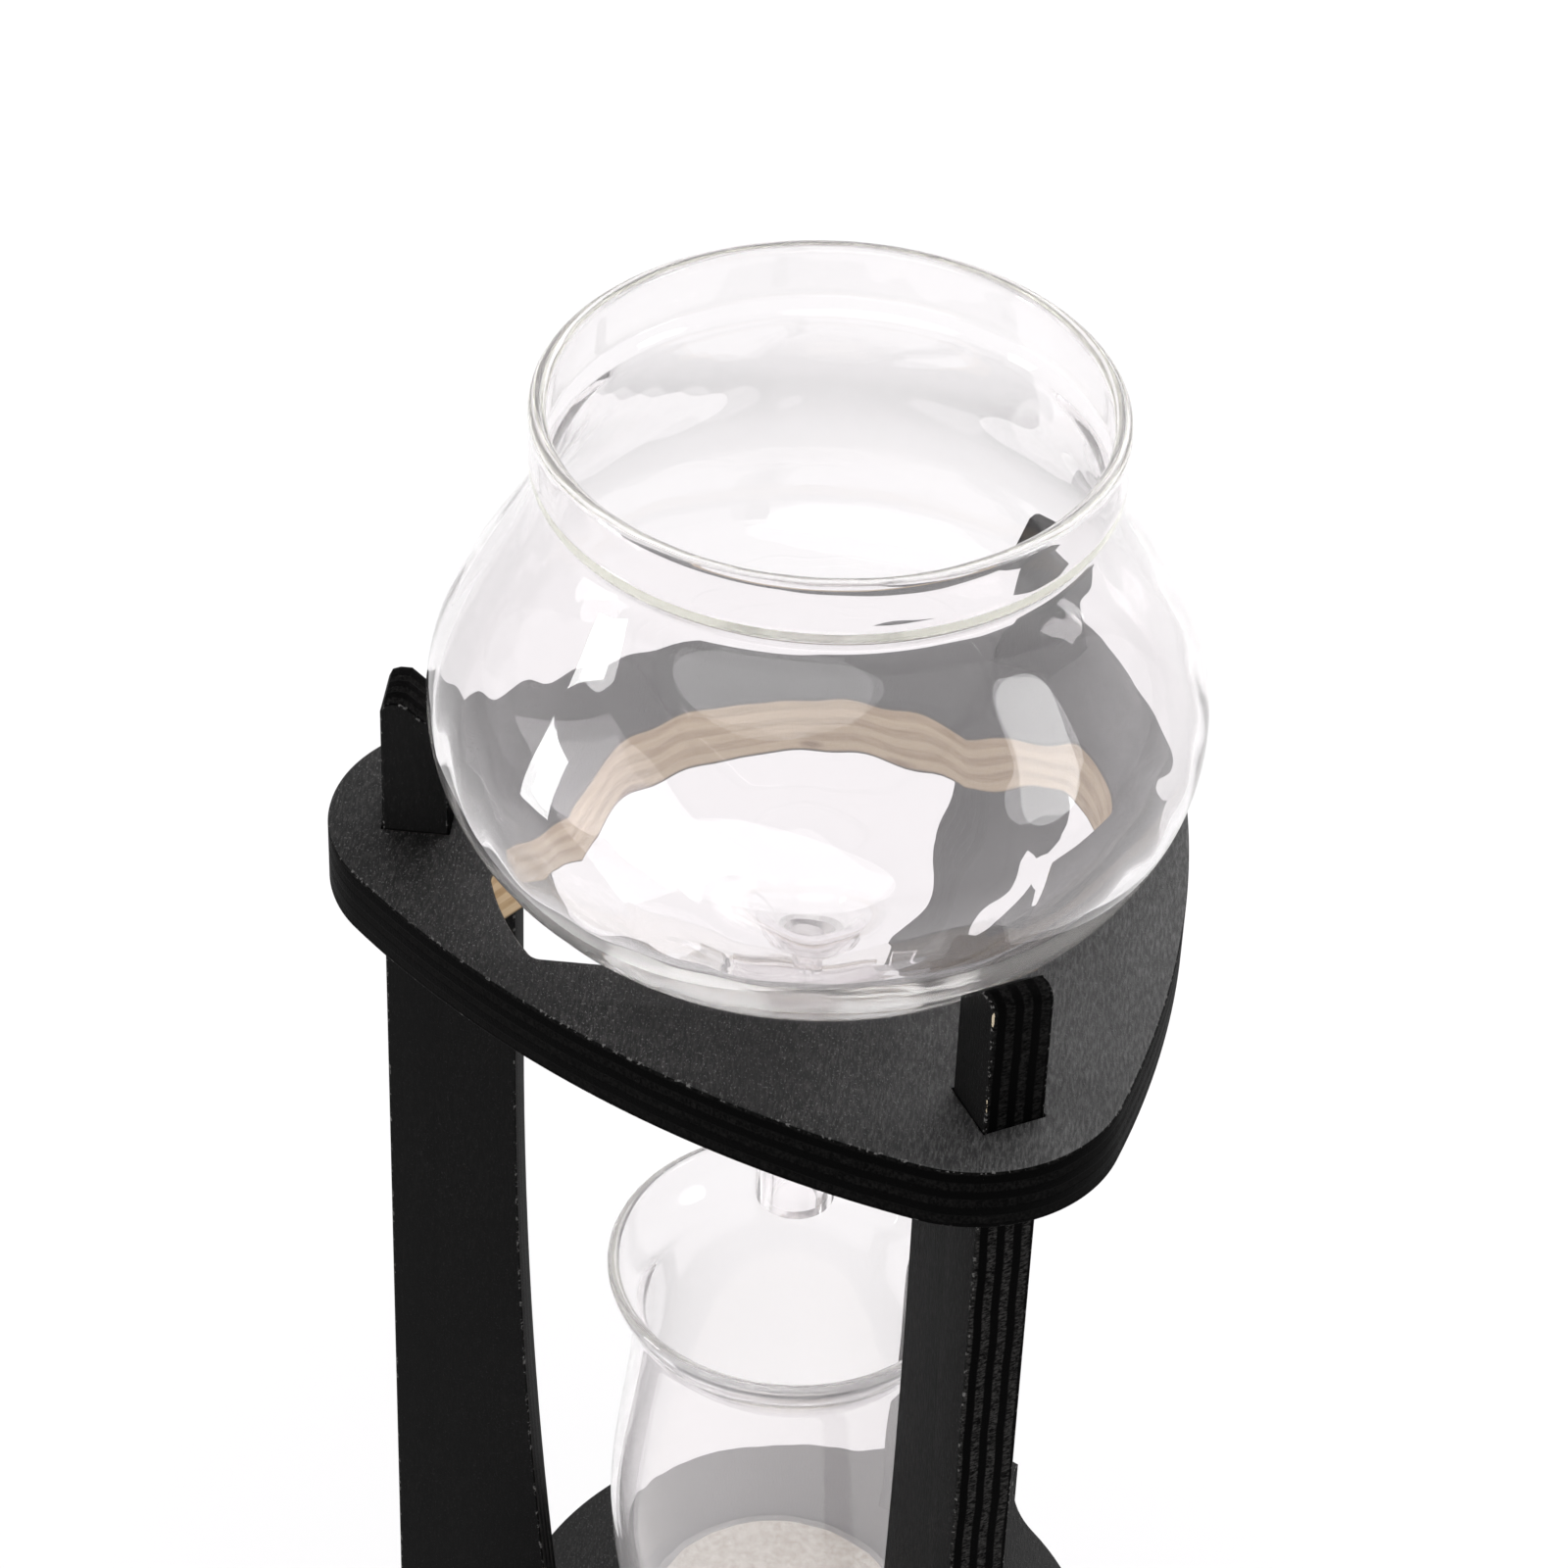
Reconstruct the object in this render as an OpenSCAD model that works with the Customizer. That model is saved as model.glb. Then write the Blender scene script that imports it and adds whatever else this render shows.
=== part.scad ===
// Cold-drip coffee tower: three plywood legs, three plywood plates, a water globe with a
// drip stopcock, a coffee chamber with its filter, and a carafe between the legs.
// The plates' axis stands at x = axis_x; the glassware and its holes stand stack_shift from it.
// z = 0 is the surface that the foot pads stand on.

/* [Plates] */
// Height of the upper plate's top face above the ground
upper_top_z = 420; // [400:1:440]
// Drop from the upper plate's top face to the middle plate's top face
middle_drop = 207; // [205:0.5:212]
// Height of the base plate's top face
base_top_z = 24.5; // [22:0.5:28]
// Thickness of the three plates
plate_t = 12.5; // [12:0.5:13]
// Distance from the axis to each corner's round centre on the upper and base plates
corner_dist = 58.5; // [57:0.5:60]
// Radius of the plates' round corners
corner_r = 26.4; // [25:0.2:28]
// Distance from the axis to the middle of each bowed side
side_reach = 63; // [62:0.5:64]
// Radius of the middle plate's disc
middle_r = 57.7; // [56:0.1:61]
// Shift of the middle plate's disc away from the left leg
disc_shift = 3.3; // [0:0.1:4]
// Place of the glassware and its holes, measured from the plates' axis
stack_shift = [-1.6, -1.2]; // [-2:0.1:2]

/* [Legs] */
// Thickness of the leg planks
leg_t = 10.9; // [10:0.1:11.5]
// Distance from the axis to the legs' outer edges
leg_outer_r = 74.9; // [74:0.1:76]
// Distance from the axis to the legs' inner edges at the slim parts
leg_waist_r = 52; // [50:0.5:53]
// Distance from the axis to the legs' inner edges at the middle plate
leg_broad_r = 41; // [40:0.5:43]
// Radial width of the tenons at both ends of a leg
tenon_w = 11.4; // [10:0.1:12]
// Height of the upper tenons above the upper plate, at their outer edge
tenon_h = 27; // [20:1:30]
// Drop of the upper tenons' sloped top towards the axis
tenon_slope = 7; // [0:0.5:8]

/* [Water globe] */
// Largest outer radius of the globe
globe_r = 65.2; // [64:0.1:67]
// Height of the globe's widest part above the upper plate
globe_waist_h = 34.4; // [33:0.1:37]
// Height of the globe's rim above the upper plate
globe_rim_h = 93; // [90:0.5:96]
// Outer radius of the collar round the globe's mouth
collar_r = 48.3; // [47:0.1:50]
// Radius of the round hole in the upper plate that carries the globe
globe_hole_r = 42.5; // [41:0.5:43]
// Reach of the two hand notches beside that hole, from its centre
notch_reach = 55; // [52:0.5:57]
// Distance of the hand notches' straight walls from the hole's centre
notch_wall = 34; // [32:0.5:36]
// Angle of the notches' straight walls to the notches' own axis
notch_flare = 26.4; // [20:0.2:32]
// Turn of the two hand notches from the left leg
notch_turn = 26.5; // [20:0.5:30]
// Wall thickness of the globe
globe_wall = 2.4; // [2:0.1:3]

/* [Stopcock] */
// Depth of the stopcock's axis below the upper plate's top face
cock_drop = 56; // [54:0.5:58]
// Depth of the stopcock's drip end below the upper plate's top face
drip_drop = 81; // [78:0.5:84]
// Outer radius of the drip tube
drip_r = 7.2; // [6:0.1:8]
// Length of the tapered barrel
barrel_l = 32; // [30:1:36]
// Length of the key's bar handle
handle_l = 34; // [28:1:38]

/* [Coffee chamber] */
// Depth of the chamber's rim below the upper plate's top face
chamber_rim_drop = 98; // [96:0.5:100]
// Outer radius of the chamber's rim
chamber_rim_r = 33.8; // [33:0.1:36]
// Outer radius of the chamber's neck
chamber_neck_r = 28.8; // [28:0.1:30]
// Largest outer radius of the chamber's body
chamber_body_r = 32.6; // [32:0.1:35]
// Radius of the hole in the middle plate that carries the chamber
chamber_hole_r = 25.4; // [25.3:0.1:25.6]
// Wall thickness of the chamber and the carafe
thin_wall = 2.2; // [2:0.1:2.4]

/* [Carafe] */
// Largest outer radius of the carafe, which has to pass between two legs
carafe_r = 38.5; // [36:0.5:39]
// Height of the carafe
carafe_h = 140; // [130:1:142]

/* [Hidden] */
$fn = 96;

// Azimuths of the left, front and back legs
LEFT = 180;
FRONT = 300;
BACK = 60;
LEGS = [LEFT, FRONT, BACK];

// The box round everything is centred on the origin: the left corner of the plates on one
// side balances the globe on the other.
axis_x = (corner_dist + corner_r - globe_r - stack_shift[0]) / 2;

fit_gap = 0.1;
rest_gap = 0.35;
eps = 1;

tenon_in_r = leg_outer_r - tenon_w;
pad_t = 2;
pad_r = 4.8;
lap_r = 59;
middle_top_z = upper_top_z - middle_drop;
arch_start = 55;
upper_arch_r = 1600;
lower_arch_r = 185;
lower_arch_top = 140;
fillet_r = 20;
ear_reach = 69.5;
ear_wall = 3.5;

bung_flange_t = 3;
outlet_r = 8.2;
outlet_bore_r = outlet_r - globe_wall;
outlet_top = -20;
outlet_end = -26;
inlet_r = 4.5;
taper_big = 5.6;
taper_small = 4.4;
key_gap = 0.05;
flow_r = 1.2;
stub_r = 3;
cock_z = upper_top_z - cock_drop;

gasket_r = 26.2;
filter_r = 24.7;
filter_t = 3;
filter_drop = 198.2;
chamber_tip_drop = 245;
chamber_tip_r = 4.4;

// ---------- helpers ----------

// Points of a cubic curve from a to d, pulled towards b and c, without its last point
function curve(a, b, c, d, n = 6) =
    [for (i = [0 : n - 1])
        let (t = i / n, s = 1 - t)
        s * s * s * a + 3 * s * s * t * b + 3 * s * t * t * c + t * t * t * d];

// Points of an ellipse round [0, zc] with half axes a and b, without its last point
function ellipse_arc(zc, a, b, from, to, n = 9) =
    [for (i = [0 : n - 1])
        let (t = from + (to - from) * i / n)
        [a * cos(t), zc + b * sin(t)]];

// A path moved sideways by d, to its left
function beside(path, d) =
    [for (i = [0 : len(path) - 1])
        let (a = path[max(i - 1, 0)], b = path[min(i + 1, len(path) - 1)], v = b - a)
        path[i] + d * [-v[1], v[0]] / norm(v)];

function reversed(path) = [for (i = [len(path) - 1 : -1 : 0]) path[i]];

// A path whose points stay outside the axis
function off_axis(path) = [for (p = path) [max(p[0], 0), p[1]]];

// Places a plate, a leg or the pads on the plates' axis
module on_axis(z = 0) {
    translate([axis_x, 0, z]) children();
}

// Places glassware on the line through the centres of the globe's and the chamber's holes
module on_stack(z = 0) {
    translate([axis_x + stack_shift[0], stack_shift[1], z]) children();
}

// A blown glass wall, turned from its outer path, with a round lip at the path's end
module glass_wall(path, wall) {
    inner = beside(path, wall);
    last = len(path) - 1;
    rotate_extrude()
        union() {
            polygon(off_axis(concat(path, reversed(inner))));
            translate((path[last] + inner[last]) / 2) circle(d = wall);
        }
}

module ring(r_out, r_in, h) {
    difference() {
        cylinder(r = r_out, h = h);
        translate([0, 0, -eps]) cylinder(r = r_in, h = h + 2 * eps);
    }
}

// ---------- plywood ----------

// Rounded triangle with bowed sides and a corner at each leg
module triangle_outline() {
    // Radius and centre distance of a side's arc, tangent to the corner rounds
    gap = side_reach - corner_r;
    bow = (corner_dist * corner_dist - gap * gap) / (2 * gap - corner_dist);
    side_r = side_reach + bow;
    // Where a side's arc meets the corner round, measured towards the corner
    reach = corner_dist + corner_r * (corner_dist + bow / 2) / (side_r - corner_r);
    for (a = LEGS) rotate(a) translate([corner_dist, 0]) circle(r = corner_r);
    intersection() {
        circle(r = 2 * reach, $fn = 3);
        rotate(LEFT) translate([bow, 0]) circle(r = side_r, $fn = 180);
        rotate(FRONT) translate([bow, 0]) circle(r = side_r, $fn = 180);
        rotate(BACK) translate([bow, 0]) circle(r = side_r, $fn = 180);
    }
}

module mortises() {
    w = tenon_w + 2 * fit_gap;
    for (a = LEGS)
        rotate(a)
            translate([tenon_in_r - fit_gap, -leg_t / 2 - fit_gap])
                square([w, leg_t + 2 * fit_gap]);
}

// Hole for the globe: a circle with two opposite hand notches, which narrow outwards
module globe_hole() {
    tip = notch_wall / sin(notch_flare);
    side = notch_wall / cos(notch_flare);
    circle(r = globe_hole_r);
    rotate(notch_turn)
        intersection() {
            circle(r = notch_reach);
            polygon([[tip, 0], [0, side], [-tip, 0], [0, -side]]);
        }
}

// Ear at a leg, blended by hollow curves into the disc round c
module ear(c) {
    hollow_y = leg_t / 2 + ear_wall + fillet_r;
    span = pow(middle_r + fillet_r, 2);
    low = [c[0] + sqrt(span - pow(hollow_y + c[1], 2)), -hollow_y];
    high = [c[0] + sqrt(span - pow(hollow_y - c[1], 2)), hollow_y];
    // The wedge stops just short of where the hollows touch the disc
    short = 0.93;
    reach = ear_reach - c[0];
    difference() {
        polygon([c, c + reach * [1, short * (low[1] - c[1]) / (low[0] - c[0])],
                 c + reach * [1, short * (high[1] - c[1]) / (high[0] - c[0])]]);
        translate(low) circle(r = fillet_r);
        translate(high) circle(r = fillet_r);
    }
}

// Disc with an ear at each leg
module middle_outline() {
    translate([disc_shift, 0]) circle(r = middle_r);
    for (a = LEGS) rotate(a) ear([disc_shift * cos(a), -disc_shift * sin(a)]);
}

module top_plate() {
    color([0.10, 0.10, 0.11])
        on_axis(upper_top_z - plate_t)
            linear_extrude(plate_t)
                difference() {
                    triangle_outline();
                    mortises();
                    translate(stack_shift) globe_hole();
                }
}

module base_plate() {
    color([0.10, 0.10, 0.11])
        on_axis(base_top_z - plate_t)
            linear_extrude(plate_t)
                difference() {
                    triangle_outline();
                    mortises();
                }
}

module middle_plate() {
    color([0.10, 0.10, 0.11])
        on_axis(middle_top_z - plate_t)
            linear_extrude(plate_t)
                difference() {
                    middle_outline();
                    translate(stack_shift) circle(r = chamber_hole_r);
                    for (a = LEGS)
                        rotate(a)
                            translate([lap_r, -leg_t / 2 - fit_gap])
                                square([middle_r, leg_t + 2 * fit_gap]);
                }
}

// Leg outline: x is the distance from the axis, y is the height
module leg_outline() {
    shoulder_z = upper_top_z - plate_t;
    arch_z = upper_top_z - arch_start;
    top_z = upper_top_z + tenon_h;
    soft = 2;
    difference() {
        translate([leg_broad_r, base_top_z])
            square([leg_outer_r - leg_broad_r, shoulder_z - base_top_z]);
        translate([0, arch_z]) square([leg_waist_r, shoulder_z]);
        translate([leg_waist_r - upper_arch_r, arch_z]) circle(r = upper_arch_r, $fn = 360);
        translate([0, base_top_z - eps]) square([leg_waist_r, lower_arch_top - base_top_z + eps]);
        translate([leg_waist_r - lower_arch_r, lower_arch_top]) circle(r = lower_arch_r, $fn = 180);
        translate([0, middle_top_z - plate_t - fit_gap])
            square([lap_r + fit_gap, plate_t + 2 * fit_gap]);
    }
    polygon([[tenon_in_r, shoulder_z - eps], [leg_outer_r, shoulder_z - eps],
             [leg_outer_r, top_z - soft], [leg_outer_r - soft, top_z],
             [leg_outer_r - 2 * soft, top_z], [tenon_in_r, top_z - tenon_slope]]);
    translate([tenon_in_r, pad_t]) square([tenon_w, base_top_z - pad_t + eps]);
}

module leg(azimuth) {
    color([0.10, 0.10, 0.11])
        on_axis()
            rotate([90, 0, azimuth])
                translate([0, 0, -leg_t / 2])
                    linear_extrude(leg_t) leg_outline();
}

module leg_left() {
    leg(LEFT);
}

module leg_front() {
    leg(FRONT);
}

module leg_back() {
    leg(BACK);
}

module foot_pads() {
    color([0.15, 0.15, 0.15])
        on_axis()
            for (a = LEGS)
                rotate(a)
                    translate([leg_outer_r - tenon_w / 2, 0, 0])
                        cylinder(r = pad_r, h = pad_t);
}

// ---------- water globe and stopcock ----------

// Outer path of the globe, from its outlet to its lip, heights from the upper plate's top.
// The lower ellipse passes just inside the edge of the plate's hole.
function globe_path() =
    let (ratio = globe_hole_r / globe_r,
         b = (globe_waist_h - rest_gap) / sqrt(1 - ratio * ratio),
         join_a = -acos(24 / globe_r),
         join_z = globe_waist_h + b * sin(join_a),
         collar_z = globe_rim_h - 10.5,
         neck = [collar_r - 1.7, globe_waist_h + 44])
    concat(
        [[outlet_r, outlet_end]],
        curve([outlet_r, outlet_top], [outlet_r, -14], [15, join_z - 1.6], [24, join_z]),
        ellipse_arc(globe_waist_h, globe_r, b, join_a, 0),
        curve([globe_r, globe_waist_h], [globe_r, globe_waist_h + 16.4],
              [collar_r + 0.7, globe_waist_h + 28.7], neck, 8),
        curve(neck, neck + [0, 2], [collar_r, collar_z - 1.8], [collar_r, collar_z], 2),
        [[collar_r, collar_z]],
        [[collar_r, globe_rim_h - 1.2]]);

module water_globe() {
    color([0.85, 0.92, 0.90, 0.4])
        on_stack(upper_top_z)
            glass_wall(globe_path(), globe_wall);
}

module outlet_bung() {
    bung_h = bung_flange_t + outlet_top - outlet_end;
    color([0.88, 0.88, 0.84])
        on_stack(upper_top_z + outlet_end - bung_flange_t)
            difference() {
                union() {
                    cylinder(r = outlet_r, h = bung_flange_t);
                    cylinder(r = outlet_bore_r - fit_gap / 2, h = bung_h);
                }
                translate([0, 0, -eps]) cylinder(r = inlet_r + fit_gap / 2, h = 20);
            }
}

module along_x(x) {
    translate([x, 0, 0]) rotate([0, 90, 0]) children();
}

// Tapered plug or bore round the stopcock's axis, small end at -X
module taper(gap, extra) {
    l = barrel_l + 2 * extra;
    slope = (taper_big - taper_small) / barrel_l;
    along_x(-l / 2)
        cylinder(h = l, r1 = taper_small - slope * extra - gap,
                 r2 = taper_big + slope * extra - gap);
}

module stopcock_body() {
    barrel_r = 9.5;
    bore_end = 6;
    color([0.85, 0.92, 0.90, 0.4])
        on_stack(cock_z)
            difference() {
                union() {
                    along_x(-barrel_l / 2) cylinder(r = barrel_r, h = barrel_l);
                    cylinder(r = inlet_r, h = cock_drop + outlet_top);
                    translate([0, 0, cock_drop - drip_drop])
                        cylinder(r = drip_r, h = drip_drop - cock_drop);
                }
                taper(0, eps);
                cylinder(r = flow_r, h = cock_drop);
                translate([0, 0, bore_end + 8]) cylinder(r = inlet_r - 1.5, h = cock_drop);
                translate([0, 0, cock_drop - drip_drop - eps]) {
                    cylinder(r = flow_r, h = drip_drop);
                    cylinder(r = drip_r - 3.1, h = 8 + eps);
                }
            }
}

// Plug with a cross bore, a bar handle at +X and a stub for the nut at -X.
// At rest the bore lies across the flow, so the stopcock is shut.
module stopcock_key() {
    neck_r = 5.6;
    bar_r = 4.6;
    bar_t = 6.5;
    bar_x = barrel_l / 2 + 5;
    color([0.85, 0.92, 0.90, 0.4])
        on_stack(cock_z)
            difference() {
                union() {
                    taper(key_gap, 0);
                    along_x(barrel_l / 2 - 0.5) cylinder(r = neck_r - key_gap, h = 6);
                    along_x(-barrel_l / 2 - 11) cylinder(r = stub_r, h = 12);
                    translate([bar_x, -handle_l / 2 + bar_r, -bar_r])
                        cube([bar_t, handle_l - 2 * bar_r, 2 * bar_r]);
                    for (side = [-1, 1])
                        translate([0, side * (handle_l / 2 - bar_r), 0])
                            along_x(bar_x) cylinder(r = bar_r, h = bar_t);
                }
                rotate([90, 0, 0]) cylinder(r = flow_r, h = 20, center = true);
            }
}

module key_washer() {
    color([0.95, 0.95, 0.93])
        on_stack(cock_z)
            along_x(-barrel_l / 2 - 1.3) ring(7.5, stub_r + fit_gap / 2, 1.2);
}

module key_o_ring() {
    color([0.1, 0.1, 0.1])
        on_stack(cock_z)
            along_x(-barrel_l / 2 - 2.3)
                rotate_extrude() translate([stub_r + 1.05, 0]) circle(r = 0.95, $fn = 32);
}

module key_nut() {
    grips = 6;
    color([0.9, 0.9, 0.88])
        on_stack(cock_z)
            along_x(-barrel_l / 2 - 9.5)
                difference() {
                    cylinder(r = 7.5, h = 6.2);
                    translate([0, 0, -eps]) cylinder(r = stub_r + fit_gap / 2, h = 10);
                    for (i = [0 : grips - 1])
                        rotate(i * 360 / grips)
                            translate([8.6, 0, -eps]) cylinder(r = 2, h = 10);
                }
}

// ---------- coffee chamber ----------

// Outer path of the chamber, from its outlet to its rim, heights from the upper plate's top
function chamber_path() =
    let (neck_z = -chamber_rim_drop - 14, wide_z = -158)
    concat(
        [[chamber_tip_r, -chamber_tip_drop]],
        curve([chamber_tip_r, -228], [chamber_tip_r, -216], [12, -214], [20, -210.5]),
        curve([20, -210.5], [26, -207.9], [28.2, -203], [29.2, -194]),
        curve([29.2, -194], [30.5, -180], [chamber_body_r, -170], [chamber_body_r, wide_z]),
        curve([chamber_body_r, wide_z], [chamber_body_r, -145],
              [chamber_neck_r + 0.1, -128], [chamber_neck_r, neck_z]),
        curve([chamber_neck_r, neck_z], [chamber_neck_r - 0.1, neck_z + 5.5],
              [chamber_rim_r - 1.5, neck_z + 6], [chamber_rim_r, -chamber_rim_drop - 1.1]),
        [[chamber_rim_r, -chamber_rim_drop - 1.1]]);

module coffee_chamber() {
    color([0.85, 0.92, 0.90, 0.4])
        on_stack(upper_top_z)
            glass_wall(chamber_path(), thin_wall);
}

module filter_disc() {
    color([0.86, 0.82, 0.74])
        on_stack(upper_top_z - filter_drop)
            cylinder(r = filter_r, h = filter_t);
}

module filter_gasket() {
    color([0.90, 0.88, 0.82])
        on_stack(upper_top_z - filter_drop)
            ring(gasket_r, filter_r, filter_t);
}

// ---------- carafe ----------

function carafe_path() =
    let (neck_r = 24.5, lip_r = 28, shoulder_z = 72, neck_z = 114)
    concat(
        [[0, 0]],
        curve([carafe_r - 7, 0], [carafe_r - 2, 0], [carafe_r, 3], [carafe_r, 9], 5),
        curve([carafe_r, shoulder_z], [carafe_r, shoulder_z + 22],
              [neck_r, neck_z - 22], [neck_r, neck_z], 10),
        curve([neck_r, neck_z], [neck_r, neck_z + 9], [neck_r + 1, carafe_h - 7],
              [lip_r, carafe_h - 1.1], 6),
        [[lip_r, carafe_h - 1.1]]);

module carafe() {
    color([0.85, 0.92, 0.90, 0.4])
        on_stack(base_top_z + 0.2)
            glass_wall(carafe_path(), thin_wall);
}

top_plate();
middle_plate();
base_plate();
leg_left();
leg_front();
leg_back();
foot_pads();
water_globe();
outlet_bung();
stopcock_body();
stopcock_key();
key_washer();
key_o_ring();
key_nut();
coffee_chamber();
filter_disc();
filter_gasket();
carafe();
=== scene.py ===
"""Looks for the cold-drip coffee tower: black plywood, blown glass, and the studio round them."""
from math import acos, atan2, cos, hypot, pi, radians, sin, sqrt

import bmesh
import bpy
from mathutils import Matrix, Vector


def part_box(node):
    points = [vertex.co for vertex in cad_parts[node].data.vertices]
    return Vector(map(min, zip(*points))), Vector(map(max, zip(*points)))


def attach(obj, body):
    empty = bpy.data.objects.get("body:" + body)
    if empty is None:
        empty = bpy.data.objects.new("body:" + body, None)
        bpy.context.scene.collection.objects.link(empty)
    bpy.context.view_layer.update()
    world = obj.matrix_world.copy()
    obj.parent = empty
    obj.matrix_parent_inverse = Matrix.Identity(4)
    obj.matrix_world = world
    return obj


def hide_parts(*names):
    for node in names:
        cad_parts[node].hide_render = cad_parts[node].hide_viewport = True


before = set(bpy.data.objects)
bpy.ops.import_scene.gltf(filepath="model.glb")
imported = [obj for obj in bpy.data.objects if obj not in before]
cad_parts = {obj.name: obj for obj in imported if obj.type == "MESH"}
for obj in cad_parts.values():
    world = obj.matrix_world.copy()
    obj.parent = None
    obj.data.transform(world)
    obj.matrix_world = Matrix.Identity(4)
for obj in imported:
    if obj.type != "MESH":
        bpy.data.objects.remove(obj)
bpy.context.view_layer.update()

MM = 0.001

# ---------- sizes, from the frame where it holds them ----------

LEGS = {"leg_left": pi, "leg_front": -pi / 3, "leg_back": pi / 3}
LEG_OUT = 74.9 * MM
# The plates and legs stand round one axis, and the glassware round another close to it
AXIS = Vector((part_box("leg_left")[0].x + LEG_OUT, 0, 0))
STACK = (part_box("carafe")[0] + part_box("carafe")[1]) / 2
STACK.z = 0
SHIFT = STACK - AXIS
TOP_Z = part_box("top_plate")[1].z
PLATE_T = TOP_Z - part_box("top_plate")[0].z
GLOBE_R = (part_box("water_globe")[1].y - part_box("water_globe")[0].y) / 2
GLOBE_RIM_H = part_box("water_globe")[1].z - TOP_Z


def at_axis(z):
    """The place at height z on the plates' axis."""
    return Matrix.Translation(AXIS + Vector((0, 0, z)))


def on_stack(z):
    """The place at height z on the glassware's axis."""
    return Matrix.Translation(STACK + Vector((0, 0, z)))


# ---------- paths ----------

def curve(a, b, c, d, n=20):
    """Points of a cubic curve from a to d, pulled towards b and c, without its last point."""
    points = []
    for i in range(n):
        t = i / n
        s = 1 - t
        w = (s * s * s, 3 * s * s * t, 3 * s * t * t, t * t * t)
        points.append(tuple(sum(k * p[j] for k, p in zip(w, (a, b, c, d))) for j in (0, 1)))
    return points


def arc(centre, radius, start, end, n=24, last=True):
    """Points round centre from angle start to angle end."""
    steps = range(n + 1 if last else n)
    return [(centre[0] + radius * cos(start + (end - start) * i / n),
             centre[1] + radius * sin(start + (end - start) * i / n)) for i in steps]


def turned(points, angle):
    """Points turned about the origin."""
    c, s = cos(angle), sin(angle)
    return [(x * c - y * s, x * s + y * c) for x, y in points]


def beside(path, wall):
    """A path moved to its left by a wall thickness, which may depend on the point."""
    moved = []
    for i, p in enumerate(path):
        d = wall(p) if callable(wall) else wall
        a = path[max(i - 1, 0)]
        b = path[min(i + 1, len(path) - 1)]
        length = hypot(b[0] - a[0], b[1] - a[1])
        moved.append((max(p[0] - d * (b[1] - a[1]) / length, 0), p[1] + d * (b[0] - a[0]) / length))
    return moved


def scaled(path):
    return [(x * MM, y * MM) for x, y in path]


# ---------- meshes ----------

def new_object(name, bm, sharp=35):
    """An object from a bmesh, smooth but for edges sharper than the given angle."""
    mesh = bpy.data.meshes.new(name)
    bmesh.ops.recalc_face_normals(bm, faces=bm.faces)
    bm.to_mesh(mesh)
    bm.free()
    mesh.shade_smooth()
    mesh.set_sharp_from_angle(angle=radians(sharp))
    piece = bpy.data.objects.new(name, mesh)
    bpy.context.collection.objects.link(piece)
    return piece


def revolve(name, section, place, segments=160, wobble=None):
    """A closed section of (radius, height) points turned round its place's z axis. The wobble
    moves the second half of the section, which is the inner surface of a blown wall."""
    bm = bmesh.new()
    rings = []
    for k, (r, z) in enumerate(section):
        inside = wobble and k > len(section) / 2
        if r < 1e-7:
            rings.append([bm.verts.new((0, 0, z))])
            continue
        ring = []
        for i in range(segments):
            a = 2 * pi * i / segments
            w = r + (wobble(a, r, z) if inside else 0)
            ring.append(bm.verts.new((w * cos(a), w * sin(a), z)))
        rings.append(ring)
    on_axis = len(rings[0]) == 1
    pairs = list(zip(rings, rings[1:])) + ([] if on_axis else [(rings[-1], rings[0])])
    for low, high in pairs:
        for i in range(segments):
            j = (i + 1) % segments
            corners = [low[i % len(low)], low[j % len(low)], high[j % len(high)], high[i % len(high)]]
            bm.faces.new(list(dict.fromkeys(corners)))
    piece = new_object(name, bm)
    piece.matrix_world = place
    return piece


def glass_section(path, wall, steps=8):
    """The section of a blown wall: its outer path, a round lip at the path's end, its inner path."""
    inner = beside(path, wall)
    out_end, in_end = path[-1], inner[-1]
    middle = ((out_end[0] + in_end[0]) / 2, (out_end[1] + in_end[1]) / 2)
    start = atan2(out_end[1] - middle[1], out_end[0] - middle[0])
    radius = hypot(out_end[0] - in_end[0], out_end[1] - in_end[1]) / 2
    lip = arc(middle, radius, start, start + pi, steps)[1:-1]
    return list(path) + lip + inner[::-1]


def board(name, loops, thickness, soft, place):
    """A flat board cut to the loops (the first is its outline, the rest are holes), with soft arrises."""
    data = bpy.data.curves.new(name, "CURVE")
    data.dimensions = "2D"
    data.fill_mode = "BOTH"
    data.extrude = thickness / 2 - soft
    data.bevel_depth = soft
    data.bevel_resolution = 2
    data.offset = -soft
    for loop in loops:
        spline = data.splines.new("POLY")
        spline.points.add(len(loop) - 1)
        for point, (x, y) in zip(spline.points, loop):
            point.co = (x, y, 0, 1)
        spline.use_cyclic_u = True
    source = bpy.data.objects.new(name + ".outline", data)
    bpy.context.collection.objects.link(source)
    bpy.context.view_layer.update()
    mesh = source.to_mesh()
    bm = bmesh.new()
    bm.from_mesh(mesh)
    source.to_mesh_clear()
    bpy.data.objects.remove(source)
    bpy.data.curves.remove(data)
    bmesh.ops.remove_doubles(bm, verts=bm.verts, dist=1e-6)
    piece = new_object(name, bm)
    piece.matrix_world = place
    return piece


# ---------- material building ----------

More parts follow.
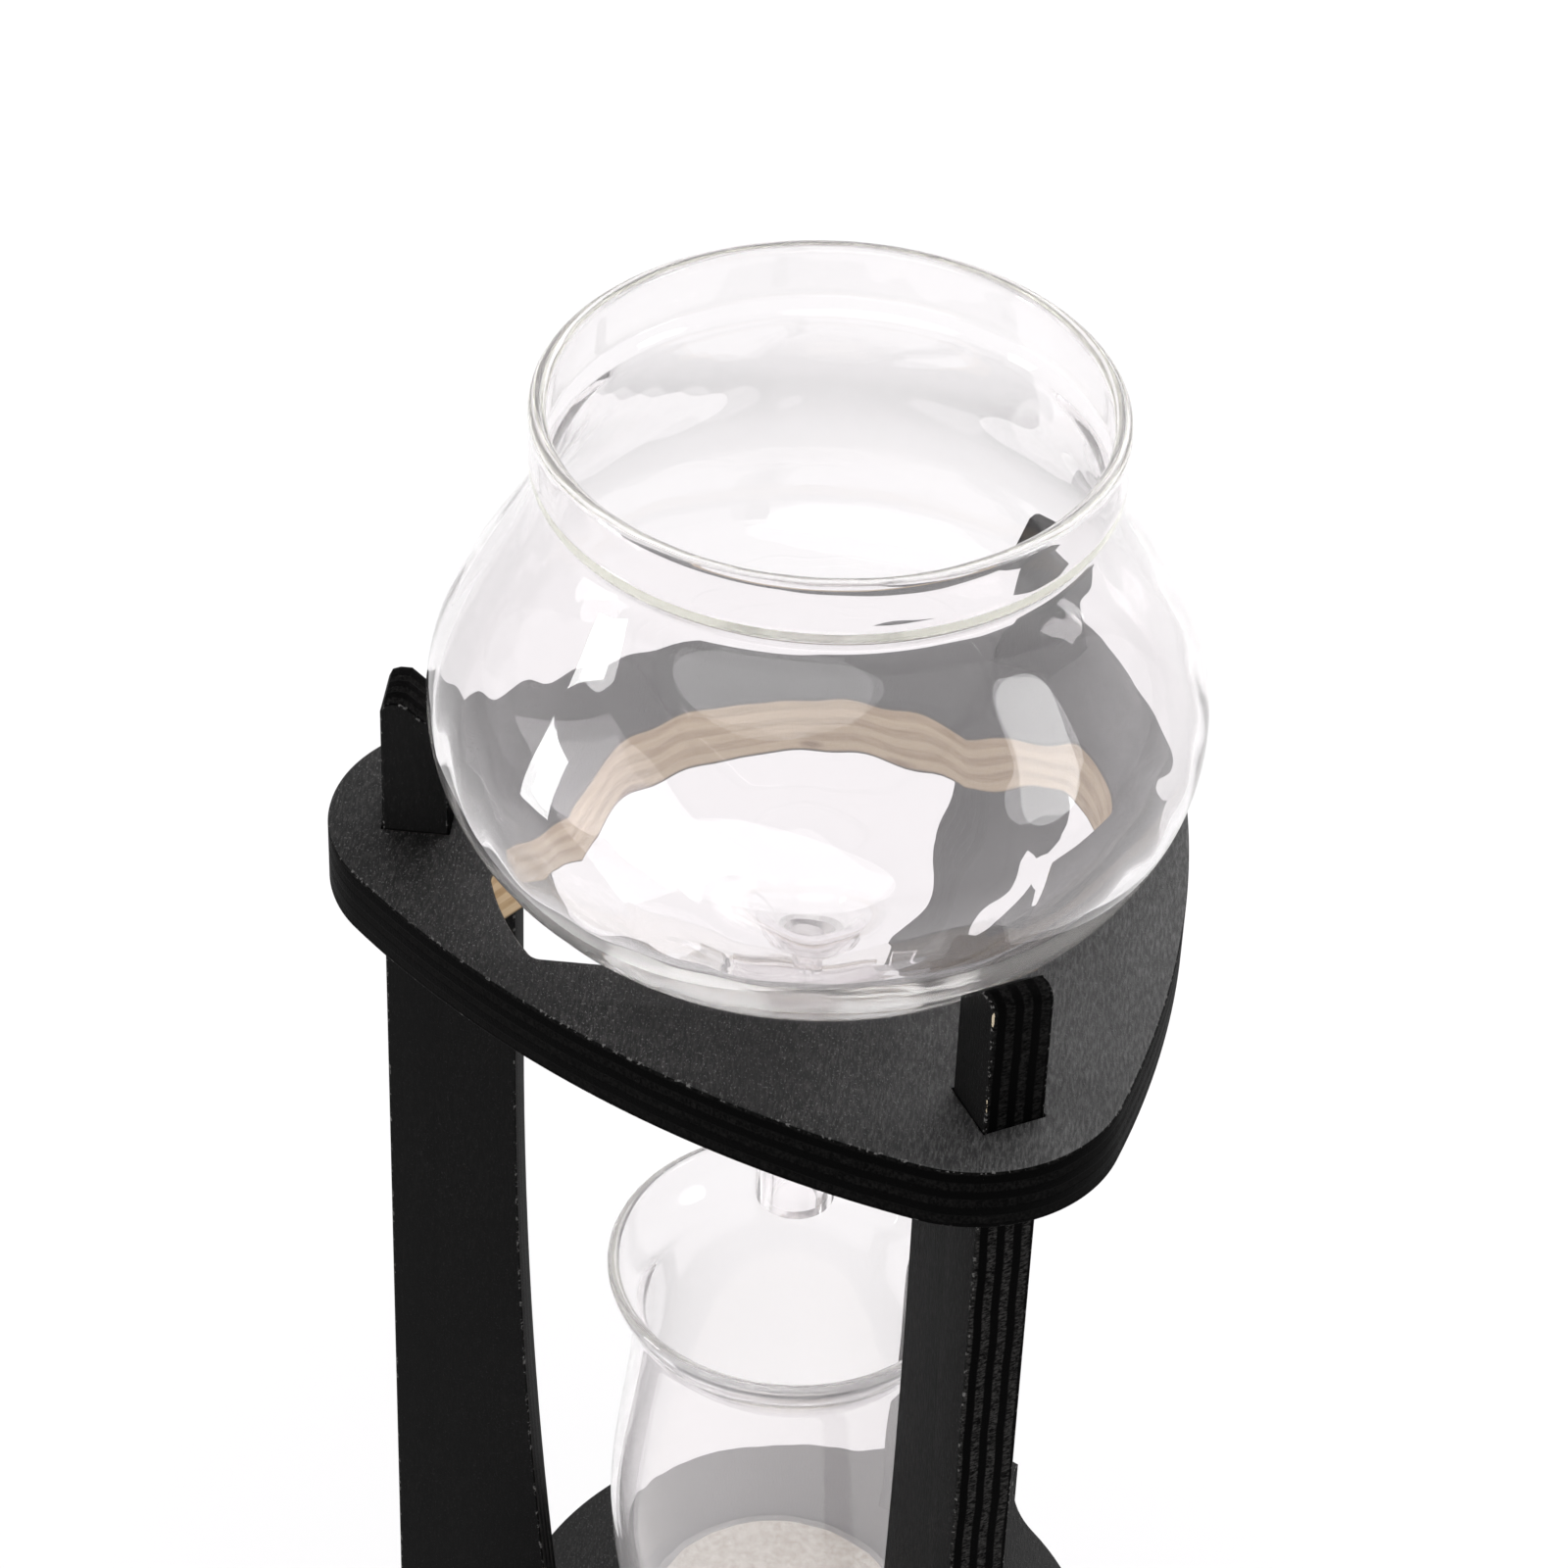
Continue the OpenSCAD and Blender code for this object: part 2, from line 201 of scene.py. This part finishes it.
class Shade:
    """A material, and short names for the nodes that it is built from."""

    def __init__(self, name):
        self.material = bpy.data.materials.new(name)
        self.material.use_nodes = True
        self.tree = self.material.node_tree
        self.surface = self.tree.nodes["Principled BSDF"]
        self.output = self.tree.nodes["Material Output"]

    def node(self, kind, inputs=None, **settings):
        made = self.tree.nodes.new("ShaderNode" + kind)
        for key, value in settings.items():
            setattr(made, key, value)
        for key, value in (inputs or {}).items():
            self.put(made.inputs[key], value)
        return made

    def put(self, socket, value):
        if isinstance(value, bpy.types.NodeSocket):
            self.tree.links.new(value, socket)
        else:
            socket.default_value = value

    def set(self, **values):
        """Sets sockets of the surface; an underscore stands for a space."""
        for key, value in values.items():
            self.put(self.surface.inputs[key.replace("_", " ")], value)

    def math(self, operation, a, b=0.0, clamp=False):
        made = self.node("Math", {0: a, 1: b}, operation=operation, use_clamp=clamp)
        return made.outputs[0]

    def fit(self, value, low, high, to_low=0.0, to_high=1.0):
        """value's range low..high brought to to_low..to_high, and held there beyond it."""
        inputs = {0: value, 1: low, 2: high, 3: to_low, 4: to_high}
        return self.node("MapRange", inputs).outputs[0]

    def mix(self, factor, a, b):
        """Colour a where factor is 0 and b where it is 1."""
        made = self.node("Mix", data_type="RGBA")
        for key, value in ((0, factor), (6, a), (7, b)):
            self.put(made.inputs[key], value)
        return made.outputs[2]

    def blend(self, factor, a, b):
        """Number a where factor is 0 and b where it is 1."""
        return self.node("Mix", {0: factor, 2: a, 3: b}).outputs[0]

    def coordinates(self):
        """The piece's own coordinates, whole and as x, y and z."""
        whole = self.node("TexCoord").outputs["Object"]
        parts = self.node("SeparateXYZ", {0: whole}).outputs
        return whole, parts[0], parts[1], parts[2]

    def normal_z(self):
        """How far the surface faces along the piece's own z, from 0 to 1."""
        parts = self.node("SeparateXYZ", {0: self.node("TexCoord").outputs["Normal"]}).outputs
        return self.math("ABSOLUTE", parts[2])

    def stretch(self, vector, x, y, z):
        """Coordinates multiplied along each axis."""
        made = self.node("VectorMath", {0: vector, 1: (x, y, z)}, operation="MULTIPLY")
        return made.outputs[0]

    def noise(self, vector, scale=1.0, detail=3.0, rough=0.55):
        inputs = {"Vector": vector, "Scale": scale, "Detail": detail, "Roughness": rough}
        return self.node("TexNoise", inputs).outputs["Fac"]

    def bump(self, height, distance, strength=1.0):
        inputs = {"Height": height, "Distance": distance, "Strength": strength}
        return self.node("Bump", inputs).outputs[0]


def grey(value, warmth=0.0):
    return (value * (1 + warmth), value, value * (1 - warmth), 1)


# ---------- black plywood ----------

STAIN = grey(0.006)
STAIN_WORN = grey(0.050, 0.03)
RAW_WOOD = (0.46, 0.345, 0.215, 1)
RAW_DARK = (0.20, 0.11, 0.05, 1)
PLIES = 7


def ply_layers(s, through, thickness, along):
    """1 in the plies that are cut across their grain and 0 in those cut along it."""
    wander = s.fit(s.noise(s.stretch(along, 60, 60, 0), 1, 2), 0.3, 0.7, -0.0002, 0.0002)
    depth = s.math("ADD", s.math("ADD", through, thickness / 2), wander)
    turns = s.math("MULTIPLY", depth, pi * PLIES / thickness)
    return s.fit(s.math("ABSOLUTE", s.math("SINE", s.math("MULTIPLY", turns, 0.5))), 0.62, 0.80)


def black_ply(name, thickness, sheen=0.12, wear=1.0, fibre=0.020, raw_inside=None, painted_sheen_side=None,
              dark_above=None, worn_arris=None):
    """Black-stained plywood. Sheet grain runs along the piece's own y, and the plies lie across z.
    raw_inside is the radius within which cut edges were left raw. Across the sheen side's span (x, x)
    the colour grows paler: a painted sheen where the lamps' reflection brightens the plate. dark_above
    is the y above which the plies took more stain. worn_arris is (x, z, lowest y), the edge line whose stain
    is chipped off."""
    s = Shade(name)
    whole, x, y, z = s.coordinates()
    facing = s.normal_z()
    face = s.fit(facing, 0.6, 0.8)
    arris = s.math("MULTIPLY", s.fit(facing, 0.12, 0.35), s.fit(facing, 0.99, 0.93))

    # The sheet: fine pale streaks along the grain, pale specks painted where rough fibres glint, and broad
    # uneven stain
    streaks = s.noise(s.stretch(whole, 2300, 420, 500), 1, 4, 0.7)
    glint_specks = s.fit(s.noise(s.stretch(whole, 3400, 1500, 500), 1, 2, 0.5), 0.60, 0.76)
    cloud = s.noise(s.stretch(whole, 60, 22, 20), 1, 5, 0.6)
    uneven = s.fit(cloud, 0.3, 0.75, 0.3 * wear, wear)
    sheet = s.mix(s.math("MULTIPLY", s.fit(streaks, 0.46, 0.70), uneven), STAIN, STAIN_WORN)
    # Painted glints: pale specks where rough fibres catch the light
    sheet = s.mix(s.math("MULTIPLY", glint_specks, uneven), sheet, grey(0.14))
    # Painted sheen: across the given x span the colour grows paler, where the lamps' reflection brightens the
    # upper plate's right side
    if painted_sheen_side:
        pale = s.math("MULTIPLY", s.fit(x, *painted_sheen_side), s.fit(cloud, 0.25, 0.62, 0.55, 1.0))
        sheet = s.mix(pale, sheet, s.mix(s.fit(streaks, 0.42, 0.68), grey(0.045), grey(0.13)))

    # The cut edge: plies, rough and paler where cut across the grain
    plies = ply_layers(s, z, thickness, whole)
    fibres = s.noise(s.stretch(whole, 1700, 2300, 1100), 1, 4, 0.75)
    rough_ply = s.math("MULTIPLY", plies, s.fit(fibres, 0.42, 0.66))
    if dark_above:
        rough_ply = s.math("MULTIPLY", rough_ply, s.fit(y, dark_above - MM, dark_above, 1, 0.3))
    edge = s.mix(rough_ply, grey(0.0008), grey(fibre, 0.03))
    colour = s.mix(face, edge, sheet)
    roughness = s.blend(face, s.fit(rough_ply, 0, 1, 0.5, 0.8), s.fit(streaks, 0.3, 0.8, 0.36, 0.58))

    # Small pale specks along the arrises
    arris_specks = s.fit(s.noise(s.stretch(whole, 1000, 1000, 1000), 1, 3, 0.6), 0.57, 0.63)
    colour = s.mix(s.math("MULTIPLY", arris, arris_specks), colour, grey(0.085, 0.02))

    if raw_inside:
        inwards = s.node("VectorMath", {0: whole, 1: SHIFT}, operation="SUBTRACT").outputs[0]
        radius = s.node("VectorMath", {0: s.stretch(inwards, 1, 1, 0)}, operation="LENGTH").outputs["Value"]
        raw = s.math("MULTIPLY", s.math("LESS_THAN", radius, raw_inside), s.math("SUBTRACT", 1, face))
        figure = s.fit(s.noise(s.stretch(whole, 120, 120, 1300), 1, 4, 0.65), 0.38, 0.66)
        wood = s.mix(figure, RAW_WOOD, (0.35, 0.245, 0.14, 1))
        wood = s.mix(s.math("MULTIPLY", plies, 0.55), wood, (0.60, 0.48, 0.33, 1))
        knots = s.node("TexVoronoi", {"Vector": s.stretch(whole, 46, 46, 170), "Scale": 1.0})
        wood = s.mix(s.fit(knots.outputs["Distance"], 0.10, 0.19, 0.75, 0), wood, RAW_DARK)
        stained = s.fit(s.math("ABSOLUTE", z), thickness / 2 - 0.9 * MM, thickness / 2 - 0.4 * MM)
        wood = s.mix(stained, wood, grey(0.03, 0.2))
        colour = s.mix(raw, colour, wood)
        roughness = s.blend(raw, roughness, 0.7)

    if worn_arris:
        line_x, line_z, low_y = worn_arris
        gap = s.node("CombineXYZ", {0: s.math("SUBTRACT", x, line_x), 1: s.math("SUBTRACT", z, line_z)})
        near = s.node("VectorMath", {0: gap.outputs[0]}, operation="LENGTH").outputs["Value"]
        torn = s.noise(s.stretch(whole, 900, 240, 900), 1, 4, 0.7)
        width = s.fit(torn, 0.44, 0.64, 0, 0.38 * MM)
        worn = s.math("MULTIPLY", s.math("LESS_THAN", near, width), s.math("GREATER_THAN", y, low_y))
        colour = s.mix(worn, colour, (0.40, 0.34, 0.25, 1))

    edge_relief = s.math("ADD", s.math("MULTIPLY", plies, -0.6), fibres)
    relief = s.blend(face, edge_relief, s.math("ADD", streaks, glint_specks))
    s.set(Base_Color=colour, Roughness=roughness, Specular_IOR_Level=s.blend(face, 0.01, sheen),
          Normal=s.bump(relief, 0.12 * MM, 0.8))
    return s.material


# ---------- other materials ----------

def clear_glass(name, haze, ior):
    """Clear borosilicate with a slight haze, faintly yellow-green where it is thick. Lamps shine
    through it."""
    s = Shade(name)
    s.set(Base_Color=(0.935, 0.918, 0.926, 1), Roughness=0.0, IOR=ior, Transmission_Weight=1 - haze)
    through = s.node("BsdfTransparent")
    shadow = s.node("LightPath").outputs["Is Shadow Ray"]
    both = s.node("MixShader", {0: shadow, 1: s.surface.outputs[0], 2: through.outputs[0]})
    s.put(s.output.inputs["Surface"], both.outputs[0])
    depth = s.node("VolumeAbsorption", {"Color": (0.60, 0.62, 0.45, 1), "Density": 3.0})
    s.put(s.output.inputs["Volume"], depth.outputs[0])
    return s.material


def clear_silicone(name):
    """Soft translucent silicone, nearly clear where it is thin."""
    s = Shade(name)
    whole = s.coordinates()[0]
    cloudy = s.fit(s.noise(whole, 300, 3), 0.3, 0.7, 0.10, 0.20)
    s.set(Base_Color=(0.96, 0.96, 0.94, 1), Roughness=cloudy, IOR=1.41, Transmission_Weight=0.9)
    through = s.node("BsdfTransparent")
    both = s.node("MixShader", {0: 0.6, 1: s.surface.outputs[0], 2: through.outputs[0]})
    s.put(s.output.inputs["Surface"], both.outputs[0])
    return s.material


def plain_plastic(name, colour, roughness, grain=900, depth=0.02, sheen=0.4):
    """Moulded plastic or rubber with a fine even grain."""
    s = Shade(name)
    whole = s.coordinates()[0]
    grain_map = s.noise(whole, grain, 3)
    tone = s.fit(s.noise(whole, 90, 2), 0.3, 0.7)
    darker = tuple(c * 0.86 for c in colour[:3]) + (1,)
    rougher = s.fit(grain_map, 0.3, 0.7, roughness, roughness + 0.12)
    s.set(Base_Color=s.mix(tone, colour, darker), Roughness=rougher, Specular_IOR_Level=sheen,
          Normal=s.bump(grain_map, depth * MM, 0.5))
    return s.material


def porous_ceramic(name):
    """Cream ceramic with pores."""
    s = Shade(name)
    whole = s.coordinates()[0]
    pores = s.node("TexVoronoi", {"Vector": whole, "Scale": 1400.0}).outputs["Distance"]
    speckle = s.fit(s.noise(whole, 700, 4), 0.35, 0.65)
    s.set(Base_Color=s.mix(speckle, (0.42, 0.38, 0.32, 1), (0.54, 0.51, 0.46, 1)), Roughness=0.85,
          Normal=s.bump(pores, 0.15 * MM, 0.8))
    return s.material


# ---------- plywood pieces ----------

CORNER_DIST = 58.5 * MM
CORNER_R = 26.4 * MM
SIDE_REACH = 63 * MM
GLOBE_HOLE_R = 42.5 * MM
CHAMBER_HOLE_R = 25.4 * MM
TENON_IN = 63.5 * MM
LEG_T = 10.9 * MM
FIT = 0.1 * MM
SOFT = 0.5 * MM
MIDDLE_SOFT = 0.3 * MM


def triangle_outline():
    """Rounded triangle with bowed sides and a corner at each leg."""
    gap = SIDE_REACH - CORNER_R
    bow = (CORNER_DIST ** 2 - gap ** 2) / (2 * gap - CORNER_DIST)
    side_r = SIDE_REACH + bow
    points = []
    for a in (pi, -pi / 3, pi / 3):
        corner = Vector((CORNER_DIST * cos(a), CORNER_DIST * sin(a)))
        ends = []
        for opposite in (a + 2 * pi / 3, a - 2 * pi / 3):
            centre = Vector((bow * cos(opposite), bow * sin(opposite)))
            ends.append((centre, atan2(corner.y - centre.y, corner.x - centre.x)))
        start, end = ends[0][1], ends[1][1]
        while end < start:
            end += 2 * pi
        points += arc(corner, CORNER_R, start, end, 40)
        # The side that follows this corner
        centre = ends[1][0]
        next_a = a + 2 * pi / 3
        after = Vector((CORNER_DIST * cos(next_a), CORNER_DIST * sin(next_a)))
        finish = atan2(after.y - centre.y, after.x - centre.x)
        while finish < end - pi:
            finish += 2 * pi
        while finish < end:
            finish += 2 * pi
        points += arc(centre, side_r, end, finish, 40)[1:-1]
    return points


def mortise(a):
    """The slot for a tenon at azimuth a."""
    low, high, half = TENON_IN - FIT, LEG_OUT + FIT, LEG_T / 2 + FIT
    return turned([(low, -half), (high, -half), (high, half), (low, half)], a)


def globe_hole():
    """A circle with two opposite hand notches, which narrow outwards and have soft corners."""
    reach, wall, soft, flare, turn = 55 * MM, 34 * MM, 2.8 * MM, radians(26.4), radians(26.5)
    slope = pi / 2 - flare
    meet = slope - acos(wall / GLOBE_HOLE_R)
    lean = slope - acos((wall - soft) / (reach - soft))
    inset = ((reach - soft) * cos(lean), (reach - soft) * sin(lean))
    half = (arc((0, 0), GLOBE_HOLE_R, meet - pi, -meet, 40)
            + arc((inset[0], -inset[1]), soft, -slope, -lean, 8)
            + arc((0, 0), reach, -lean, lean, 20)[1:-1]
            + arc(inset, soft, lean, slope, 8))
    loop = turned(half + turned(half, pi), turn)
    return [(x + SHIFT.x, y + SHIFT.y) for x, y in loop]


def middle_outline():
    """A disc with an ear at each leg, blended in by hollow curves, and a slot in each ear."""
    disc_r, disc_shift, fillet, ear, lap = 57.7 * MM, 3.3 * MM, 20 * MM, 69.5 * MM, 59 * MM
    half = LEG_T / 2 + FIT
    hollow_y = LEG_T / 2 + 3.5 * MM + fillet
    ears = []
    for a in (pi, 5 * pi / 3, 7 * pi / 3):
        cx, cy = turned([(disc_shift, 0)], -a)[0]
        sides = []
        for side in (-1, 1):
            y = side * hollow_y
            x = cx + sqrt((disc_r + fillet) ** 2 - (y - cy) ** 2)
            blend = arc((x, y), fillet, atan2(cy - y, cx - x), -side * acos((ear - x) / fillet), 12)
            sides.append((blend, a + atan2(y - cy, x - cx)))
        ears.append((a, sides))
    points = []
    for k, (a, ((below, _), (above, leave))) in enumerate(ears):
        meet = ears[(k + 1) % 3][1][0][1] + (2 * pi if k == 2 else 0)
        slot = [(ear, -half), (lap, -half), (lap, half), (ear, half)]
        points += turned(below + slot + above[::-1], a)
        points += arc((disc_shift, 0), disc_r, leave, meet, 30)[1:-1]
    return points


def leg_outline():
    """A leg's outline: x is the distance from the tower's axis and y is the height."""
    shoulder = TOP_Z - PLATE_T
    base_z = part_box("base_plate")[1].z
    lap_low, lap_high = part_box("middle_plate")[0].z - FIT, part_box("middle_plate")[1].z + FIT
    foot_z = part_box("leg_front")[0].z
    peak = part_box("leg_front")[1].z
    waist, broad, lap = 52 * MM, 41 * MM, 59.1 * MM
    upper_r, upper_z = 1.600, TOP_Z - 55 * MM
    lower_r, lower_z = 185 * MM, 140 * MM
    upper = [upper_z + (lap_high - upper_z) * i / 16 for i in range(17)]
    lower = [lap_low + (lower_z - lap_low) * i / 16 for i in range(17)]

    def inner_edge(radius, centre_z, h):
        """The leg's inner edge at height h: an arch that ends at its broad part."""
        return max(waist - radius + sqrt(radius ** 2 - (h - centre_z) ** 2), broad)

    tenon_top = [(LEG_OUT, peak - 2 * MM), (LEG_OUT - 0.6 * MM, peak - 0.6 * MM), (LEG_OUT - 2 * MM, peak),
                 (LEG_OUT - 4 * MM, peak), (TENON_IN, peak - 7 * MM)]
    return ([(TENON_IN, foot_z), (LEG_OUT, foot_z)]
            + tenon_top
            + [(TENON_IN, shoulder), (waist, shoulder)]
            + [(inner_edge(upper_r, upper_z, h), h) for h in upper]
            + [(lap, lap_high), (lap, lap_low)]
            + [(inner_edge(lower_r, lower_z, h), h) for h in lower]
            + [(waist, base_z), (TENON_IN, base_z)])


def wood():
    """The plates and the legs, each a board in stained ply."""
    # The upper plate gets a painted sheen on its right side, where the lamps' reflection falls
    upper_ply = black_ply("black_ply_upper", PLATE_T, fibre=0.006, raw_inside=57 * MM,
                          painted_sheen_side=(0, 70 * MM))
    lower_ply = black_ply("black_ply_lower", PLATE_T, wear=0.7, fibre=0.006, raw_inside=30 * MM)
    mortises = [mortise(a) for a in LEGS.values()]
    chamber_hole = arc(SHIFT.xy, CHAMBER_HOLE_R, 0, 2 * pi, 96, False)
    cuts = {
        "top_plate": ([triangle_outline(), globe_hole()] + mortises, SOFT, upper_ply),
        "middle_plate": ([middle_outline(), chamber_hole], MIDDLE_SOFT, lower_ply),
        "base_plate": ([triangle_outline()] + mortises, SOFT, lower_ply)}
    for node, (loops, soft, ply) in cuts.items():
        low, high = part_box(node)
        place = at_axis((low.z + high.z) / 2)
        piece = board(node.replace("_", "_ply_"), loops, high.z - low.z, soft, place)
        finish(piece, ply, "tower", "black_ply", node)
    for node, azimuth in LEGS.items():
        worn_arris = (LEG_OUT, LEG_T / 2, TOP_Z) if node == "leg_front" else None
        ply = black_ply("black_ply_" + node, LEG_T, sheen=0.015, wear=0.08, fibre=0.032, dark_above=TOP_Z,
                        worn_arris=worn_arris)
        place = at_axis(0) @ Matrix.Rotation(azimuth, 4, "Z") @ Matrix.Rotation(pi / 2, 4, "X")
        piece = board(node + "_plank", [leg_outline()], LEG_T, SOFT, place)
        finish(piece, ply, "tower", "black_ply", node)


def finish(piece, material, body, slot, *nodes):
    """Gives a piece its material and its body, and hides the CAD nodes that it stands for. Its slot is not
    used.
    """
    piece.data.materials.clear()
    piece.data.materials.append(material)
    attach(piece, body)
    if nodes:
        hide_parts(*nodes)


# ---------- glass pieces ----------

def globe_path():
    """The globe's outer path in millimetres from the upper plate's top, from its outlet to its lip."""
    globe_r, rim, waist, collar = GLOBE_R / MM, GLOBE_RIM_H / MM, 34.4, 48.3
    outlet, foot_r = 8.2, 24
    outlet_end, outlet_top, clear = -26, -20, 0.35
    # The belly is a half-ellipse that rests just clear of the plate's hole
    half_h = (waist - clear) / sqrt(1 - (GLOBE_HOLE_R / MM / globe_r) ** 2)
    join = -acos(foot_r / globe_r)
    join_z = waist + half_h * sin(join)
    belly = [join * (1 - i / 40) for i in range(40)]
    shoulder_r, shoulder_z = collar + 0.7, waist + 28.7
    neck_r, neck_z, collar_z, lip_z = collar - 1.7, waist + 44, rim - 10.5, rim - 1.55
    return ([(outlet, outlet_end)]
            + curve((outlet, outlet_top), (outlet, -14), (15, join_z - 1.6), (foot_r, join_z), 24)
            + [(globe_r * cos(a), waist + half_h * sin(a)) for a in belly]
            + curve((globe_r, waist), (globe_r, waist + 16.4), (shoulder_r, shoulder_z), (neck_r, neck_z), 40)
            + curve((neck_r, neck_z), (neck_r, neck_z + 2), (collar, collar_z - 1.8), (collar, collar_z), 12)
            + [(collar, collar_z + (lip_z - collar_z) * i / 6) for i in range(7)])


def globe_wall(point):
    """The globe's wall in metres: thicker towards its lip, and where it rests in the plate."""
    r, z = point[0] / MM, point[1] / MM
    wall, more_at_lip, more_at_foot = 2.3, 0.7, 1.7
    lip = min(max((z - 78) / 14, 0), 1)
    foot = min(max((r - 22) / 18, 0), 1) * min(max((24 - z) / 22, 0), 1)
    return (wall + more_at_lip * lip + more_at_foot * foot) * MM


def chamber_path():
    """The chamber's outer path in millimetres from the upper plate's top, from its tip to its rim."""
    rim, neck, wide, body_r, neck_r, rim_r, tip_r = -98, -112, -158, 32.6, 28.8, 33.8, 4.4
    return ([(tip_r, -245), (tip_r, -236)]
            + curve((tip_r, -228), (tip_r, -216), (12, -214), (20, -210.5))
            + curve((20, -210.5), (26, -207.9), (28.2, -203), (29.2, -194))
            + curve((29.2, -194), (30.5, -180), (body_r, -170), (body_r, wide))
            + curve((body_r, wide), (body_r, -145), (neck_r + 0.1, -128), (neck_r, neck))
            + curve((neck_r, neck), (neck_r - 0.1, neck + 5.5), (rim_r - 1.5, neck + 6), (rim_r, rim - 1.1))
            + [(rim_r, rim - 1.1)])


def carafe_path():
    """The carafe's outer path in millimetres from its own base."""
    body_r, height, neck_r, lip_r, shoulder, neck = 38.5, 140, 24.5, 28, 72, 114
    return ([(0, 0), (body_r / 2, 0)]
            + curve((body_r - 7, 0), (body_r - 2, 0), (body_r, 3), (body_r, 9), 14)
            + curve((body_r, shoulder), (body_r, shoulder + 22), (neck_r, neck - 22), (neck_r, neck), 30)
            + curve((neck_r, neck), (neck_r, neck + 9), (neck_r + 1, height - 7), (lip_r, height - 1.1), 20)
            + [(lip_r, height - 1.1)])


def blown(amount):
    """Small unevenness of a blown wall, fading towards its axis and its foot."""
    def wobble(a, r, z):
        fade = min(r / (60 * MM), 1) ** 2 * min(max((abs(z) + 4 * MM) / (24 * MM), 0.15), 1)
        return amount * fade * (0.6 * sin(5 * a + 0.7 + z * 70) + 0.7 * sin(11 * a + 2.1 - z * 130)
                                + 0.4 * sin(29 * a + 1.2 + z * 210))
    return wobble


def glass():
    """The three blown pieces and the stopcock's two glass parts."""
    blown_wall = 2.2 * MM
    clear = clear_glass("clear_glass", 0.02, 1.47)
    globe = revolve("globe_glass", glass_section(scaled(globe_path()), globe_wall), on_stack(TOP_Z),
                    segments=224, wobble=blown(0.11 * MM))
    finish(globe, clear, "globe", "clear_glass", "water_globe")
    pale = clear_glass("pale_glass", 0.09, 1.36)
    chamber = revolve("chamber_glass", glass_section(scaled(chamber_path()), blown_wall), on_stack(TOP_Z),
                      wobble=blown(0.06 * MM))
    finish(chamber, pale, "chamber", "clear_glass", "coffee_chamber")
    carafe = revolve("carafe_glass", glass_section(scaled(carafe_path()), blown_wall),
                     on_stack(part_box("carafe")[0].z))
    finish(carafe, clear, "carafe", "clear_glass", "carafe")
    for node in ("stopcock_body", "stopcock_key"):
        dress(node, pale)


def dress(node, material):
    """A CAD node keeps its shape and gets its material."""
    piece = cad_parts[node]
    for i in range(max(len(piece.material_slots), 1)):
        if not piece.material_slots:
            piece.data.materials.append(material)
        piece.material_slots[i].material = material


def trims():
    """Materials of the CAD nodes that are shown as they are."""
    silicone = clear_silicone("silicone")
    dress("outlet_bung", silicone)
    dress("filter_gasket", silicone)
    dress("key_washer", plain_plastic("ptfe", (0.86, 0.86, 0.84, 1), 0.38, 700, 0.01))
    dress("key_nut", plain_plastic("white_plastic", (0.80, 0.80, 0.78, 1), 0.35, 900, 0.01))
    rubber = plain_plastic("black_rubber", (0.022, 0.022, 0.022, 1), 0.62, 800, 0.03)
    dress("key_o_ring", rubber)
    dress("foot_pads", rubber)
    dress("filter_disc", porous_ceramic("ceramic"))


# ---------- studio ----------

def camera():
    """The camera stands in front, high, looking down at the globe, with a slight roll."""
    data = bpy.data.cameras.new("camera")
    data.sensor_width = 36.0
    data.lens = 114.43
    data.clip_end = 20
    eye = bpy.data.objects.new("camera", data)
    bpy.context.collection.objects.link(eye)
    pitch, swing, roll = radians(39.299), radians(4.26), radians(2.356)
    ahead = Vector((-sin(swing) * cos(pitch), cos(swing) * cos(pitch), -sin(pitch)))
    level = Vector((cos(swing), sin(swing), 0))
    above = level.cross(ahead)
    right = cos(roll) * level + sin(roll) * above
    up = -sin(roll) * level + cos(roll) * above
    turn = Matrix((right, up, -ahead)).transposed().to_4x4()
    eye.matrix_world = Matrix.Translation(AXIS + Vector((41.87 * MM, -652.23 * MM, 968.25 * MM))) @ turn
    bpy.context.scene.camera = eye


def area(name, place, target, wide, power, tall, shape="RECTANGLE"):
    """A soft lamp at place that faces target."""
    data = bpy.data.lights.new(name, "AREA")
    data.shape = shape
    data.size = wide
    data.size_y = tall
    data.energy = power
    lamp = bpy.data.objects.new(name, data)
    bpy.context.collection.objects.link(lamp)
    lamp.location = place
    lamp.rotation_euler = (Vector(target) - Vector(place)).to_track_quat("-Z", "Y").to_euler()


def studio():
    """A pale room with a floor, four lamps and enough bounces for thick glass."""
    scene = bpy.context.scene
    scene.view_settings.view_transform = "Standard"
    scene.cycles.max_bounces = 128
    scene.cycles.transmission_bounces = 128
    scene.cycles.glossy_bounces = 64
    scene.cycles.transparent_max_bounces = 64

    # A pale room all round
    world = bpy.data.worlds.new("world")
    world.use_nodes = True
    background = world.node_tree.nodes["Background"]
    background.inputs[0].default_value = (1.0, 0.99, 1.0, 1)
    background.inputs[1].default_value = 1.1
    scene.world = world

    bm = bmesh.new()
    bmesh.ops.create_circle(bm, cap_ends=True, segments=96, radius=6)
    floor = new_object("floor", bm)
    s = Shade("floor_paper")
    whole = s.coordinates()[0]
    s.set(Base_Color=s.mix(s.fit(s.noise(whole, 3, 2), 0.3, 0.7), grey(0.68), grey(0.70)), Roughness=0.9,
          Specular_IOR_Level=0.1)
    floor.data.materials.append(s.material)

    # A broad box high behind on the right, a strip on the left, and soft boxes right and in front
    area("softbox_back", (1.4, 2.2, 2.2), (0, 0, 0.42), 2.4, 48, 1.8)
    area("strip_left", (-1.45, -0.40, 0.47), (0, 0, 0.47), 0.28, 6.5, 0.5)
    area("softbox_right", (1.45, -0.40, 0.75), (0, 0, 0.47), 0.55, 2.6, 0.40, "ELLIPSE")
    area("softbox_front", (-0.35, -2.0, 0.55), (0, 0, 0.45), 3.0, 16, 1.3, "ELLIPSE")


camera()
wood()
glass()
trims()
studio()
